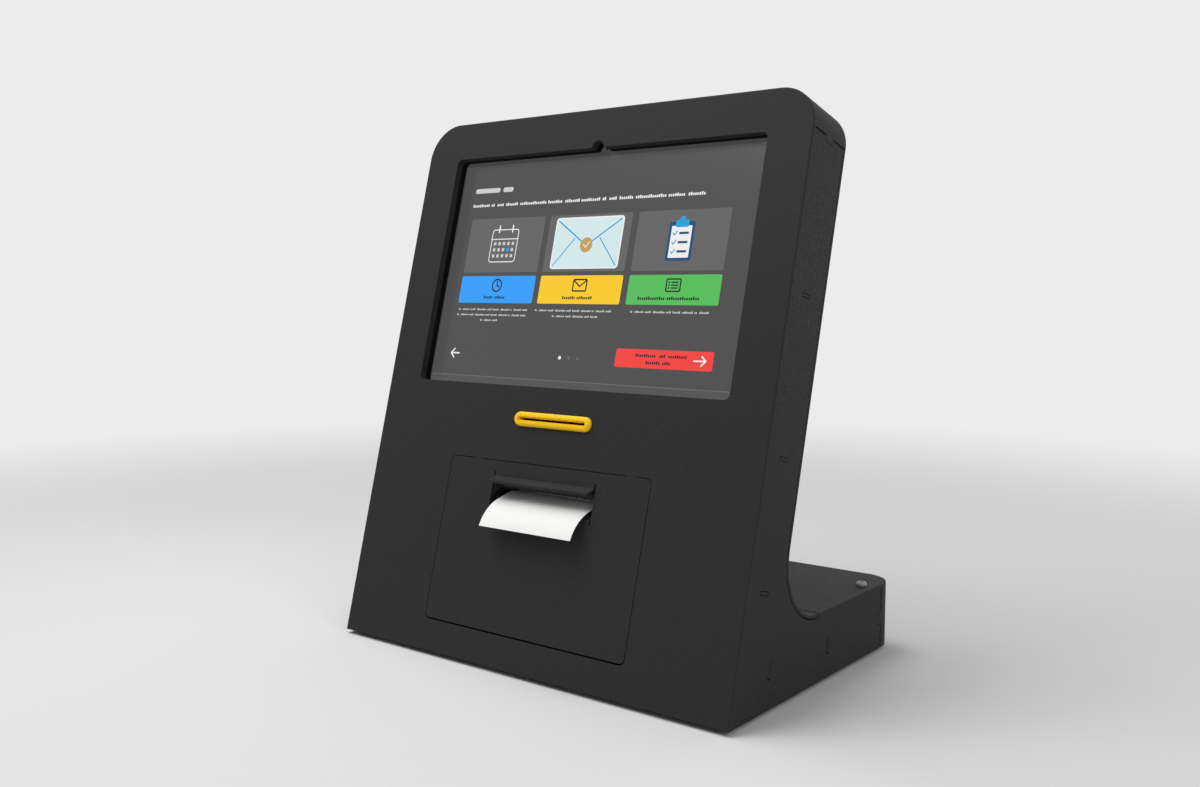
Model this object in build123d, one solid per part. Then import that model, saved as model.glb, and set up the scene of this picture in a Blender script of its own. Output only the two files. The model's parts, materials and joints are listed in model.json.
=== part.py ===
from build123d import *
import math
import os

# Enclosure
width = 330.0
slope_length = 387.5             # bottom edge to top edge along the leaning front
lean = 14.7                      # degrees that the front leans back from upright
base_depth = 225.0
base_height = 45.0               # underside of the body to the top of the lid
foot_height = 3.0
sheet = 2.0
fold_radius = 1.2
groove = 0.8                     # shadow line under the back cover
seam = 1.0
edge_break = 0.3                 # rounding of the side panel under the lid
top_corner_radius = 26.5
rear_corner_radius = 20.0
sweep_radius = 38.0              # concave curve between slab and base
flange_width = 12.0
ledge_width = 3.0
rear_wrap = 24.0                 # how far the rear wall comes round each side

# Clearances
overrun = 5.0                    # how far every cut runs past its faces
slot_clearance = 0.15
tab_clearance = 0.4
tab_relief = 0.8                 # room below an upright tab in its slot
part_gap = 0.3
running_clearance = 0.08

# Tabs that lock the sheets together
tab_depth = 15.7                 # front face to the near end of a side tab
tab_length = 8.9
tab_reach = 3.0
gusset_rise = 80.0
gusset_width = 40.0
rail_drop = 14.7                 # tablet rail below the middle of the screen
base_tab_length = 9.4
base_tab_rise = 16.5
front_rail_inset = 4.5           # back face of the slab to the front cross rail
front_rail_height = 41.0
front_rail_tab_rise = 30.3
base_rail_setback = 11.85        # front edge of the lid to the base cross rail
strip_tab_depth = 17.0
strip_tab_length = 10.0
bottom_tab_distance = 14.5
bottom_tab_length = 11.2

# Screen
screen_side_border = 31.0
screen_top_border = 28.3
screen_gap = 22.7                # card slot to the lower edge of the screen
screen_corner = 4.0
lip_depth = 5.4
notch_radius = 5.0
notch_blend = 1.5
glass_depth = 10.5
glass_thickness = 1.0
gasket_width = 7.0
tablet_margin = 8.0
tablet_corner = 9.0
tablet_thickness = 9.0
tablet_edge_radius = 2.5
clamp_width = 16.0
clamp_sheet = 1.5
clamp_overlap = 7.0
clamp_foot = 11.0
clamp_spacing_share = 0.65       # of the screen's height

# Card reader
card_gap = 30.2                  # door to card slot
bezel_side = 4.5                 # bezel past each end of the slot
bezel_height = 10.0
bezel_proud = 3.0
bezel_round = 2.4
bezel_dish = 1.1
neck_side = 2.3
neck_height = 6.0
card_slot_length = 57.4
card_slot_height = 1.8
mouth_margin = 0.9
reader_front = 4.0
reader_clear = 4.0               # reader to back cover
reader_height = 13.0
reader_wall = 4.0
reader_ear = 9.0
reader_ear_depth = 14.0
board_thickness = 1.6
board_margin = 5.0

# Printer door
door_width = 173.5
door_bottom = 23.0
door_margin = 10.3               # bend line of the visor to the door's upper edge
door_corner = 4.0
door_gap = 0.5
door_low_gap = 1.1
door_flange = 10.0
hinge_rise = 8.0                 # above the door's lower edge
hinge_depth = 4.0
hinge_pin_radius = 1.5
hinge_ear = 14.0
hinge_ear_gap = 1.2
magnet_inset = 18.75             # door edge to the middle of a magnet
magnet_size = 10.0
magnet_thickness = 4.0

# Receipt mouth in the door
mouth_side = 4.75                # mouth past each edge of the paper
mouth_drop = 6.0                 # platen to the bend line of the inner lip
mouth_height = 21.0              # bend line of the inner lip to that of the visor
relief_width = 1.2
relief_length = 3.0
visor_length = 7.6
visor_angle = 58.0
inner_lip_length = 8.0
inner_lip_angle = 60.0

# Printer mechanism
paper_width = 79.5
paper_thickness = 0.2
receipt_dip = 29.0               # degrees past the top of the platen where the paper leaves it
receipt_reach = 13.0             # straight run from the platen to the curl
receipt_curl = 30.3
receipt_turn = 49.0              # degrees of curl
cheek_side = 6.25                # cheek past each edge of the paper
cheek_foot = 13.0
platen_gap = 23.0                # full roll to platen axis
platen_depth = 18.0
platen_radius = 6.5
platen_side = 2.25
rear_room = 4.0                  # printer to back cover
shaft_radius = 2.5
bush_radius = 4.5
bush_flange = 1.2
shaft_end = 0.5                  # shaft past its bush or seat
gear_module = 0.75
gear_teeth = 32
pinion_teeth = 12
gear_face = 5.0
gear_offset = 4.0                # cheek to gear
backlash = 0.24
dedendum_share = 1.25
pressure_angle = 20.0
motor_angle = 14.0               # degrees from straight below the platen, towards the door
motor_radius = 7.5
motor_length = 20.0
motor_flange = 1.5
pinion_shaft_radius = 1.5
shaft_seat = 6.0
guide_drop = 15.0                # platen to guide rod
guide_radius = 2.6
head_height = 18.0
head_thickness = 5.0
fin_depth = 2.0
fin_pitch = 8.0
spring_room = 6.0
spring_sheet = 0.8
spring_height = 10.0
spring_half_span = 30.0
spring_flat = 7.0
bar_height = 20.0
cheek_top_share = 0.65           # of the rear bar's height, above the platen
tear_bar_height = 4.0
tear_bar_depth = 7.0
tear_bar_thickness = 2.0
tear_gap = 0.7
tooth_pitch = 3.0
tooth_height = 1.2
circuit_height = 30.0
circuit_depth = 24.0
standoff = 2.0
switch_size = 6.0
switch_height = 3.0
switch_floor = 0.6
button_radius = 2.0
button_travel = 0.8
button_height = 2.6

# Paper supply
roll_floor = 4.0                 # front cross rail to full roll
roll_clear = 3.0                 # door to paper bucket
roll_radius = 22.0
core_radius = 6.5
core_wall = 1.2
bucket_gap = 0.4
bucket_wall = 1.6
bucket_end_gap = 0.8
rib_spacing = 56.0
rib_width = 3.0
rib_height = 26.0
bucket_rear_angle = 82.0         # degrees from straight up, on the paper's side
bucket_front_angle = 50.0

# Base
lid_gap = 0.8
lid_lip_inset = 6.0
lid_lip_height = 4.0
lid_lip_length = 40.0
lock_inset = 9.5                 # side face to lock axis
lock_rear_inset = 35.2
lock_head_radius = 3.9
lock_head_height = 2.8
lock_head_round = 2.4
socket_radius = 1.5
socket_depth = 1.4
lock_body_radius = 3.0
lock_body_length = 9.0
lock_nut_radius = 4.0
lock_nut_height = 2.4
lock_plug_radius = 2.0
cam_length = 5.5
cam_width = 5.0
cam_thickness = 2.0
keeper_width = 7.0
keeper_rise = 6.0
keeper_gap = 0.6
foot_radius = 11.0
foot_inset = 26.0
bolt_radius = 3.25
bolt_inset_x = 50.0
bolt_inset_y = 32.5
grommet_offset = 60.0
grommet_rise = 22.0
grommet_hole = 9.0
grommet_bore = 5.0
grommet_flange_radius = 12.0
grommet_flange = 2.0
unit_length_share = 0.3067       # of the width inside the base
supply_depth_share = 0.545       # of the base behind its rail
supply_height = 30.0
supply_margin = 25.0             # side panel to power supply
supply_round = 3.0
controller_depth_share = 0.594
controller_margin = 53.0
controller_rise = 6.0
post_radius = 3.0
post_inset = 5.0
port_width = 14.0
port_depth = 16.0
port_height = 7.0
port_pitch = 22.0
rail_window_length = 90.0
rail_window_height = 14.0
window_place_share = 0.7         # of a window's length, from the middle

# Vents and screws
vent_count = 9
vent_length = 34.0
vent_width = 3.0
vent_pitch = 14.0
vent_drop = 69.5                 # top edge to the middle of the vents
screw_radius = 1.5
screw_clearance = 0.1
screw_head_radius = 2.8
screw_head = 1.7
screw_length = 4.0
cover_screw_rises_share = (0.08, 0.51, 0.94)

# Worked out from the sizes above
lean_sin = math.sin(math.radians(lean))
lean_cos = math.cos(math.radians(lean))
lean_tan = lean_sin / lean_cos
half_width = width / 2
inner_half = half_width - sheet
front_y = -(base_depth + grommet_flange) / 2
rear_y = front_y + base_depth
body_bottom = foot_height
plate_top = body_bottom + sheet
base_top = body_bottom + base_height
lid_under = base_top - sheet
bar_depth = platen_depth + platen_radius + part_gap + paper_thickness + head_thickness + spring_room
slab_depth = bar_depth + sheet + rear_room + sheet
cover_inner = slab_depth - sheet
front_rail_depth = slab_depth - front_rail_inset
seam_rise = slope_length - top_corner_radius
side_top = seam_rise - seam
side_edge = cover_inner - groove
sheet_limit = cover_inner - sheet - part_gap
roll_rise = front_rail_height + roll_floor + roll_radius
roll_depth = sheet + roll_clear + bucket_wall + bucket_gap + roll_radius
platen_rise = roll_rise + roll_radius + platen_gap
mouth_low = platen_rise - mouth_drop
mouth_high = mouth_low + mouth_height
mouth_width = paper_width + 2 * mouth_side
cheek_spacing = paper_width + 2 * cheek_side
platen_length = paper_width + 2 * platen_side
door_top = mouth_high + door_margin
door_height = door_top - door_bottom
magnet_offset = door_width / 2 - magnet_inset
hinge_s = door_bottom + hinge_rise
card_rise = door_top + card_gap
bezel_length = card_slot_length + 2 * bezel_side
neck_length = card_slot_length + 2 * neck_side
reader_depth = cover_inner - reader_clear - reader_front
screen_width = width - 2 * screen_side_border
screen_bottom = card_rise + screen_gap
screen_top = slope_length - screen_top_border
screen_height = screen_top - screen_bottom
screen_mid = screen_bottom + screen_height / 2
rail_rise = screen_mid - rail_drop
clamp_spacing = screen_height * clamp_spacing_share
tablet_back = glass_depth + tablet_thickness
vent_rise = slope_length - vent_drop
sweep_depth = slab_depth + sweep_radius
sweep_s = (base_height + sweep_radius + sweep_depth * lean_sin) / lean_cos
sweep_y = front_y + sweep_s * lean_sin + sweep_depth * lean_cos
sweep_z = base_top + sweep_radius
sweep_turn = math.radians((90 - lean) / 2)
flange_low = sweep_s + overrun
flange_high = side_top - flange_width
lid_front = sweep_y + sheet + seam
side_end = rear_y - rear_wrap
base_rail_y = lid_front + base_rail_setback
bay_front = base_rail_y + sheet + overrun
bay_depth = rear_y - sheet - base_rail_y - sheet / 2
unit_length = 2 * inner_half * unit_length_share
supply_depth = bay_depth * supply_depth_share
controller_depth = bay_depth * controller_depth_share
supply_x = -inner_half + supply_margin + unit_length / 2
controller_x = inner_half - controller_margin - unit_length / 2
bolt_spacing_x = width - 2 * bolt_inset_x
bolt_spacing_y = base_depth - 2 * bolt_inset_y
lock_x = half_width - lock_inset
lock_y = rear_y - lock_rear_inset
lock_low = lid_under - lock_body_length
cam_top = lock_low - part_gap
slab = Plane(origin=(0, front_y, body_bottom), x_dir=(1, 0, 0), z_dir=(0, -lean_cos, lean_sin))


def slab_point(s, t):
    y = front_y + s * lean_sin + t * lean_cos
    z = body_bottom + s * lean_cos - t * lean_sin
    return (y, z)


def block(x0, x1, s0, s1, t0, t1):
    # a box in the slab's own directions: across, up the slope, depth behind the front face
    place = Pos((x0 + x1) / 2, (s0 + s1) / 2, -(t0 + t1) / 2)
    return place * Box(x1 - x0, s1 - s0, t1 - t0)


def room(x0, x1, y0, y1, z0, z1):
    # a box in the upright directions of the base
    place = Pos((x0 + x1) / 2, (y0 + y1) / 2, (z0 + z1) / 2)
    return place * Box(x1 - x0, y1 - y0, z1 - z0)


def both_sides(shape):
    return shape + mirror(shape, Plane.YZ)


def tilt(shape):
    return slab.location * shape


def layer(sketch, t0, t1):
    # a sketch on the front plane, made solid between two depths
    return Pos(0, 0, -t1) * extrude(sketch, amount=t1 - t0)


def side_profile(points_st, x0, x1):
    # an outline of rises and depths, made solid across the kiosk
    points = [(s, -t) for s, t in points_st]
    face = make_face(Polyline(*points, close=True))
    return Plane.YZ.offset(x0) * extrude(face, amount=x1 - x0)


def rod(x0, x1, s, t, radius):
    turn = Plane(origin=(x0, s, -t), x_dir=(0, 1, 0), z_dir=(1, 0, 0))
    return turn * extrude(Circle(radius), amount=x1 - x0)


def pin_in(x, s, t0, t1, radius):
    return Pos(x, s, -t1) * extrude(Circle(radius), amount=t1 - t0)


def post(x, y, z0, z1, radius):
    return Pos(x, y, z0) * extrude(Circle(radius), amount=z1 - z0)


def save(name, shape):
    solids = shape.solids()
    export_step(solids[0] if len(solids) == 1 else Compound(children=solids), f"parts/{name}.step")


# Front shell

def slab_outline(inset):
    outline = Pos(0, (slope_length - inset) / 2) * Rectangle(width - 2 * inset, slope_length - inset)
    return fillet(outline.vertices().group_by(Axis.Y)[-1], top_corner_radius - inset)


def screen_opening(grow):
    wide = screen_width + 2 * grow
    tall = screen_height + 2 * grow
    pane = Pos(0, screen_mid) * RectangleRounded(wide, tall, screen_corner + grow)
    return pane + Pos(0, screen_top) * Circle(notch_radius + grow)


def screen_cut():
    outline = screen_opening(0)
    corners = outline.vertices().filter_by_position(Axis.X, -notch_radius - seam, notch_radius + seam)
    return fillet(corners, notch_blend)


def door_opening():
    low = door_bottom - door_low_gap
    high = door_top + door_gap
    outline = RectangleRounded(door_width + 2 * door_gap, high - low, door_corner + door_gap)
    return Pos(0, (low + high) / 2) * outline


def side_tab(rise, clearance):
    half = sheet / 2 + clearance
    end = half_width + (overrun if clearance else 0)
    far = tab_depth + tab_length + clearance
    return block(inner_half, end, rise - half, rise + half, tab_depth - clearance, far)


def front_rail_tab(clearance):
    half = sheet / 2 + clearance
    end = half_width + (overrun if clearance else 0)
    low = front_rail_tab_rise - clearance - (tab_relief if clearance else 0)
    high = front_rail_tab_rise + base_tab_length + clearance
    return block(inner_half, end, low, high, front_rail_depth - half, front_rail_depth + half)


def base_rail_tab(clearance):
    half = sheet / 2 + clearance
    end = half_width + (overrun if clearance else 0)
    low = body_bottom + base_tab_rise - clearance - (tab_relief if clearance else 0)
    high = body_bottom + base_tab_rise + base_tab_length + clearance
    return room(inner_half, end, base_rail_y - half, base_rail_y + half, low, high)


def rear_wall_tab(clearance):
    low = body_bottom + base_tab_rise - clearance
    high = body_bottom + base_tab_rise + base_tab_length + clearance
    far = side_end + seam + (overrun if clearance else 0)
    outside = half_width + (overrun if clearance else 0)
    inside = inner_half - (overrun if clearance else 0)
    return room(inside, outside, side_end - tab_reach - clearance, far, low, high)


def bottom_tab(clearance):
    near = front_y + bottom_tab_distance - clearance
    far = front_y + bottom_tab_distance + bottom_tab_length + clearance
    end = half_width + (overrun if clearance else 0)
    top = plate_top + (slot_clearance if clearance else 0)
    low = body_bottom - (overrun if clearance else 0)
    root = inner_half - (0 if clearance else tab_reach)
    return room(root, end, near, far, low, top)


def strip_tab(clearance):
    near = strip_tab_depth - clearance
    far = strip_tab_depth + strip_tab_length + clearance
    inside = inner_half - (overrun if clearance else 0)
    outside = half_width + (overrun if clearance else 0)
    top = seam_rise + (overrun if clearance else 0)
    return block(inside, outside, side_top - tab_reach - clearance, top, near, far)


def side_panel():
    edge_radius = sweep_radius + sheet + groove
    low = slab_point(sheet * lean_tan, sheet)
    high = slab_point(side_top, sheet)
    back = slab_point(side_top, side_edge)
    curve_start = slab_point(sweep_s, side_edge)
    middle = (sweep_y - edge_radius * math.cos(sweep_turn), sweep_z - edge_radius * math.sin(sweep_turn))
    curve_end = (sweep_y, sweep_z - edge_radius)
    step = (lid_front, curve_end[1])
    rim = (lid_front, lid_under)
    top = (side_end, lid_under)
    foot = (side_end, body_bottom)
    lines = Polyline(curve_end, step, rim, top, foot, low, high, back, curve_start)
    curve = ThreePointArc(curve_start, middle, curve_end)
    face = make_face(lines + curve)
    panel = Plane.YZ.offset(inner_half) * extrude(face, amount=sheet)
    rim_edges = panel.edges().filter_by(Axis.Y).group_by(Axis.Z)[-1]
    return fillet(rim_edges.sort_by(Axis.X)[-1], edge_break)


def return_flange():
    inside = inner_half - flange_width
    flange = block(inside, half_width, flange_low, flange_high, cover_inner - sheet, cover_inner)
    edge = flange.edges().filter_by(Axis.Y).sort_by(Axis.X)[-2:].sort_by(Axis.Z)[0]
    return fillet(edge, groove)


def lid_ledge():
    inside = inner_half - ledge_width
    return room(inside, inner_half, lid_front + sheet, side_end, lid_under - sheet, lid_under)


def cover_screw_places():
    x = inner_half - flange_width / 2
    rises = [flange_low + (flange_high - flange_low) * share for share in cover_screw_rises_share]
    return [(side * x, s) for side in (-1, 1) for s in rises]


def front_shell():
    plate = layer(slab_outline(0), 0, sheet)
    plate = fillet(plate.faces().sort_by(Axis.Z)[-1].edges(), fold_radius)
    plate += layer(screen_opening(sheet), 0, lip_depth)
    plate -= layer(screen_cut(), -overrun, lip_depth + overrun)
    plate -= layer(door_opening(), -overrun, sheet + overrun)
    neck = SlotOverall(neck_length + 2 * slot_clearance, neck_height + 2 * slot_clearance)
    plate -= layer(Pos(0, card_rise) * neck, -overrun, sheet + overrun)
    flanges = both_sides(return_flange())
    for x, s in cover_screw_places():
        flanges -= pin_in(x, s, cover_inner - sheet - overrun, slab_depth, screw_radius + screw_clearance)
    shell = tilt(plate + flanges) + both_sides(side_panel() + lid_ledge())
    cuts = tilt(side_tab(gusset_rise, tab_clearance))
    cuts += tilt(side_tab(shelf_rise(), tab_clearance))
    cuts += tilt(side_tab(rail_rise, tab_clearance))
    cuts += tilt(front_rail_tab(tab_clearance)) + tilt(strip_tab(tab_clearance))
    cuts += base_rail_tab(tab_clearance) + rear_wall_tab(tab_clearance) + bottom_tab(tab_clearance)
    below = room(-width, width, -base_depth, base_depth, -overrun, body_bottom)
    return shell - both_sides(cuts) - below


def top_strip():
    ring = slab_outline(0) - slab_outline(sheet)
    ring = ring & (Pos(0, seam_rise + slope_length / 2) * Rectangle(2 * width, slope_length))
    return layer(ring, sheet, cover_inner) + both_sides(strip_tab(0))


def back_cover():
    inner = sweep_radius + sheet
    top_out = slab_point(slope_length, slab_depth)
    top_in = slab_point(slope_length, cover_inner)
    start_out = slab_point(sweep_s, slab_depth)
    start_in = slab_point(sweep_s, cover_inner)
    mid_out = (sweep_y - sweep_radius * math.cos(sweep_turn), sweep_z - sweep_radius * math.sin(sweep_turn))
    mid_in = (sweep_y - inner * math.cos(sweep_turn), sweep_z - inner * math.sin(sweep_turn))
    end_out = (sweep_y, base_top)
    end_in = (sweep_y, lid_under)
    tail_out = (lid_front - seam, base_top)
    tail_in = (lid_front - seam, lid_under)
    lines = ThreePointArc(start_out, mid_out, end_out) + Polyline(end_out, tail_out, tail_in, end_in)
    lines += ThreePointArc(end_in, mid_in, start_in) + Polyline(start_in, top_in, top_out, start_out)
    cover = Plane.YZ.offset(-half_width) * extrude(make_face(lines), amount=width)
    square = Pos(0, seam_rise + slope_length / 2) * Rectangle(2 * width, slope_length)
    cover -= tilt(layer(square - slab_outline(0), -overrun, slab_depth + overrun))
    for i in range(vent_count):
        x = (i - (vent_count - 1) / 2) * vent_pitch
        slot = Pos(x, vent_rise) * Rot(0, 0, 90) * SlotOverall(vent_length, vent_width)
        cover -= tilt(layer(slot, cover_inner - overrun, slab_depth + overrun))
    for x, s in cover_screw_places():
        hole = pin_in(x, s, cover_inner - overrun, slab_depth + overrun, screw_radius + screw_clearance)
        cover -= tilt(hole)
    return cover


def cover_screws():
    screws = []
    for x, s in cover_screw_places():
        head = pin_in(x, s, slab_depth, slab_depth + screw_head, screw_head_radius)
        head = fillet(head.edges().filter_by(GeomType.CIRCLE).sort_by(Axis.Z)[0], screw_head / 2)
        screws.append(head + pin_in(x, s, slab_depth - screw_length, slab_depth, screw_radius))
    return Compound(children=screws)


# Inner sheets

def shelf_rise():
    return card_rise - reader_height / 2 - sheet / 2


def reader_shelf():
    rise = shelf_rise()
    plate = block(-inner_half, inner_half, rise - sheet / 2, rise + sheet / 2, sheet, sheet_limit)
    plate += both_sides(side_tab(rise, 0))
    for x, s, t in reader_screw_places():
        plate -= standing(x, t, rise - overrun, rise + overrun, screw_radius + screw_clearance)
    return plate


def tablet_rail():
    low = rail_rise - sheet / 2
    high = rail_rise + sheet / 2
    plate = block(-inner_half, inner_half, low, high, tablet_back, sheet_limit)
    ear_start = tablet_half() + part_gap + sheet
    plate += both_sides(block(ear_start, inner_half, low, high, tab_depth, sheet_limit))
    return plate + both_sides(side_tab(rail_rise, 0))


def side_gussets():
    low = gusset_rise - sheet / 2
    high = gusset_rise + sheet / 2
    inside = inner_half - gusset_width
    plate = block(inside, inner_half, low, high, sheet, sheet_limit) + side_tab(gusset_rise, 0)
    plate = fillet(plate.edges().filter_by(Axis.Y).sort_by(Axis.X)[:2], fold_radius * 2)
    return Compound(children=[plate, mirror(plate, Plane.YZ)])


def front_cross_rail():
    near = front_rail_depth - sheet / 2
    far = front_rail_depth + sheet / 2
    rail = block(-inner_half, inner_half, 0, front_rail_height, near, far)
    rail += both_sides(front_rail_tab(0))
    return tilt(rail) - room(-width, width, -base_depth, base_depth, -base_height, plate_top)


def base_cross_rail():
    half = sheet / 2
    web = room(-inner_half, inner_half, base_rail_y - half, base_rail_y + half, plate_top, lid_under - sheet)
    top_half = inner_half - ledge_width - part_gap
    top = room(-top_half, top_half, sweep_y - sheet, base_rail_y + half, lid_under - sheet, lid_under)
    rail = web + top + both_sides(base_rail_tab(0))
    middle = (plate_top + lid_under) / 2
    window = RectangleRounded(rail_window_length, rail_window_height, fold_radius * 2)
    cut = extrude(window, amount=2 * overrun)
    for side in (-1, 1):
        x = side * rail_window_length * window_place_share
        rail -= Plane(origin=(x, base_rail_y + overrun, middle), x_dir=(1, 0, 0), z_dir=(0, -1, 0)) * cut
    return rail


# Base

def base_plan(inset, near):
    depth = rear_y - inset - near
    plan = Pos(0, near + depth / 2) * Rectangle(width - 2 * inset, depth)
    return fillet(plan.vertices().group_by(Axis.Y)[-1], rear_corner_radius - inset)


def base_rear_wall():
    near = side_end + seam
    plan = base_plan(0, near) - base_plan(sheet, near - overrun)
    wall = Pos(0, 0, body_bottom) * extrude(plan, amount=lid_under - body_bottom)
    wall += both_sides(rear_wall_tab(0))
    return wall - grommet_rod(grommet_hole)


def grommet_plane():
    middle = (-grommet_offset, rear_y, body_bottom + grommet_rise)
    return Plane(origin=middle, x_dir=(-1, 0, 0), z_dir=(0, 1, 0))


def grommet_rod(radius):
    return grommet_plane() * (Pos(0, 0, -overrun) * extrude(Circle(radius), amount=2 * overrun))


def cable_grommet():
    body = grommet_hole - slot_clearance
    neck = Pos(0, 0, -sheet) * extrude(Circle(body), amount=sheet)
    outer = extrude(Circle(grommet_flange_radius), amount=grommet_flange)
    outer = fillet(outer.edges().sort_by(Axis.Z)[-1], grommet_flange / 2)
    inner = Pos(0, 0, -sheet - grommet_flange) * extrude(Circle(grommet_flange_radius), amount=grommet_flange)
    bore = extrude(Circle(grommet_bore), amount=sheet + 4 * grommet_flange)
    bore = Pos(0, 0, -sheet - 2 * grommet_flange) * bore
    return grommet_plane() * (neck + outer + inner - bore)


def bottom_plate():
    inset = sheet + part_gap
    near = slab_point(sheet / lean_cos + sheet * lean_tan, sheet)[0] + part_gap
    plan = base_plan(inset, near)
    plate = Pos(0, 0, body_bottom) * extrude(plan, amount=sheet)
    plate += both_sides(bottom_tab(0))
    for x in (-bolt_spacing_x / 2, bolt_spacing_x / 2):
        for y in (-bolt_spacing_y / 2, bolt_spacing_y / 2):
            plate -= post(x, y, 0, plate_top + overrun, bolt_radius)
    return plate


def rubber_feet():
    feet = []
    for x in (-half_width + foot_inset, half_width - foot_inset):
        for y in (front_y + foot_inset, rear_y - foot_inset):
            pad = post(x, y, 0, body_bottom, foot_radius)
            feet.append(fillet(pad.edges().sort_by(Axis.Z)[0], foot_height / 4))
    return Compound(children=feet)


def base_lid():
    plate = Pos(0, 0, lid_under) * extrude(base_plan(0, lid_front), amount=sheet)
    plate = fillet(plate.faces().sort_by(Axis.Z)[-1].edges(), fold_radius / 2)
    outside = inner_half - ledge_width - lid_gap
    lip_start = base_rail_y + lid_lip_inset
    lip_end = lip_start + lid_lip_length
    lip = room(outside - sheet, outside, lip_start, lip_end, lid_under - lid_lip_height, lid_under)
    plate += both_sides(lip)
    return plate - post(lock_x, lock_y, 0, base_top + overrun, lock_body_radius + slot_clearance)


def lock_housing():
    bush = post(lock_x, lock_y, lock_low, base_top, lock_body_radius)
    nut = extrude(RegularPolygon(lock_nut_radius, 6), amount=lock_nut_height)
    bush += Pos(lock_x, lock_y, lid_under - lock_nut_height) * nut
    return bush - post(lock_x, lock_y, 0, base_top + overrun, lock_plug_radius + running_clearance)


def lock_plug():
    seat = base_top + part_gap
    top = seat + lock_head_height
    head = post(lock_x, lock_y, seat, top, lock_head_radius)
    head = fillet(head.edges().sort_by(Axis.Z)[-1], lock_head_round)
    head += post(lock_x, lock_y, cam_top, seat, lock_plug_radius)
    socket = extrude(RegularPolygon(socket_radius, 6), amount=overrun)
    return head - Pos(lock_x, lock_y, top - socket_depth) * socket


def lock_cam():
    # at rest it points inwards and the lid is free, a quarter turn brings it under the keeper
    bar = Pos(lock_x - cam_length / 2, lock_y) * SlotOverall(cam_length + cam_width, cam_width)
    return Pos(0, 0, cam_top - cam_thickness) * extrude(bar, amount=cam_thickness)


def lock_keeper():
    under = cam_top + part_gap
    inside = lock_x - cam_width / 2
    near = lock_y + lock_body_radius + keeper_gap
    far = near + keeper_width
    leg = room(inside, inner_half, near, far, under, under + sheet)
    return leg + room(inner_half - sheet, inner_half, near, far, under, under + keeper_rise)


def power_supply():
    half = unit_length / 2
    back = bay_front + supply_depth
    case = room(supply_x - half, supply_x + half, bay_front, back, plate_top, plate_top + supply_height)
    return fillet(case.edges().filter_by(Axis.Z) + case.faces().sort_by(Axis.Z)[-1].edges(), supply_round)


def controller_corner():
    return (controller_x - unit_length / 2, bay_front)


def controller_board():
    x0, y0 = controller_corner()
    low = plate_top + controller_rise
    high = low + board_thickness
    board = room(x0, x0 + unit_length, y0, y0 + controller_depth, low, high)
    for i in range(3):
        x = x0 + unit_length / 2 + (i - 1) * port_pitch
        board += room(x - port_width / 2, x + port_width / 2, y0 + controller_depth - port_depth,
                      y0 + controller_depth, high, high + port_height)
    chip = port_depth / 2
    board += room(x0 + unit_length / 2 - chip, x0 + unit_length / 2 + chip, y0 + port_depth - chip,
                  y0 + port_depth + chip, high, high + board_thickness)
    return board


def board_posts():
    x0, y0 = controller_corner()
    posts = []
    for x in (x0 + post_inset, x0 + unit_length - post_inset):
        for y in (y0 + post_inset, y0 + controller_depth - post_inset):
            posts.append(post(x, y, plate_top, plate_top + controller_rise, post_radius))
    return Compound(children=posts)


# Screen

def tablet_half():
    return screen_width / 2 + tablet_margin


def tablet_sketch(inset):
    wide = screen_width + 2 * tablet_margin - 2 * inset
    tall = screen_height + 2 * tablet_margin - 2 * inset
    return Pos(0, screen_mid) * RectangleRounded(wide, tall, tablet_corner - inset)


def display_gasket():
    ring = screen_opening(gasket_width) - screen_opening(part_gap)
    return layer(ring, lip_depth, glass_depth)


def display_glass():
    return layer(tablet_sketch(glass_thickness / 2), glass_depth, glass_depth + glass_thickness)


def display_housing():
    body = layer(tablet_sketch(0), glass_depth + glass_thickness, tablet_back)
    return fillet(body.faces().sort_by(Axis.Z)[0].edges(), tablet_edge_radius)


def clamp_places():
    return [screen_mid - clamp_spacing / 2, screen_mid + clamp_spacing / 2]


def clamp_hole_x():
    return tablet_half() + part_gap + clamp_sheet + clamp_foot / 2


def display_clamps():
    clamps = []
    x_web = tablet_half() + part_gap
    for rise in clamp_places():
        low = rise - clamp_width / 2
        high = rise + clamp_width / 2
        back = tablet_back + clamp_sheet
        lip = block(x_web - clamp_overlap, x_web + clamp_sheet, low, high, tablet_back, back)
        web = block(x_web, x_web + clamp_sheet, low, high, sheet, back)
        foot = block(x_web, x_web + clamp_sheet + clamp_foot, low, high, sheet, sheet + clamp_sheet)
        hole = pin_in(clamp_hole_x(), rise, 0, slab_depth, screw_radius + screw_clearance)
        clamp = lip + web + foot - hole
        clamps += [clamp, mirror(clamp, Plane.YZ)]
    return Compound(children=clamps)


def clamp_screws():
    screws = []
    for rise in clamp_places():
        seat = sheet + clamp_sheet
        screw = pin_in(clamp_hole_x(), rise, sheet, seat, screw_radius)
        screw += pin_in(clamp_hole_x(), rise, seat, seat + screw_head, screw_head_radius)
        screws += [screw, mirror(screw, Plane.YZ)]
    return Compound(children=screws)


# Card reader

def card_bezel():
    rim = layer(Pos(0, card_rise) * SlotOverall(bezel_length, bezel_height), -bezel_proud, 0)
    rim = fillet(rim.faces().sort_by(Axis.Z)[-1].edges(), bezel_round)
    dish = SlotOverall(card_slot_length + 2 * mouth_margin, card_slot_height + 2 * mouth_margin)
    rim -= layer(Pos(0, card_rise) * dish, -bezel_proud - overrun, bezel_dish - bezel_proud)
    neck = layer(Pos(0, card_rise) * SlotOverall(neck_length, neck_height), 0, reader_front)
    slot = Pos(0, card_rise) * Rectangle(card_slot_length, card_slot_height)
    return rim + neck - layer(slot, -bezel_proud - overrun, reader_front + overrun)


def standing(x, t, s0, s1, radius):
    # a round bar along the slope
    turn = Plane(origin=(x, s0, -t), x_dir=(1, 0, 0), z_dir=(0, 1, 0))
    return turn * extrude(Circle(radius), amount=s1 - s0)


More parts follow.
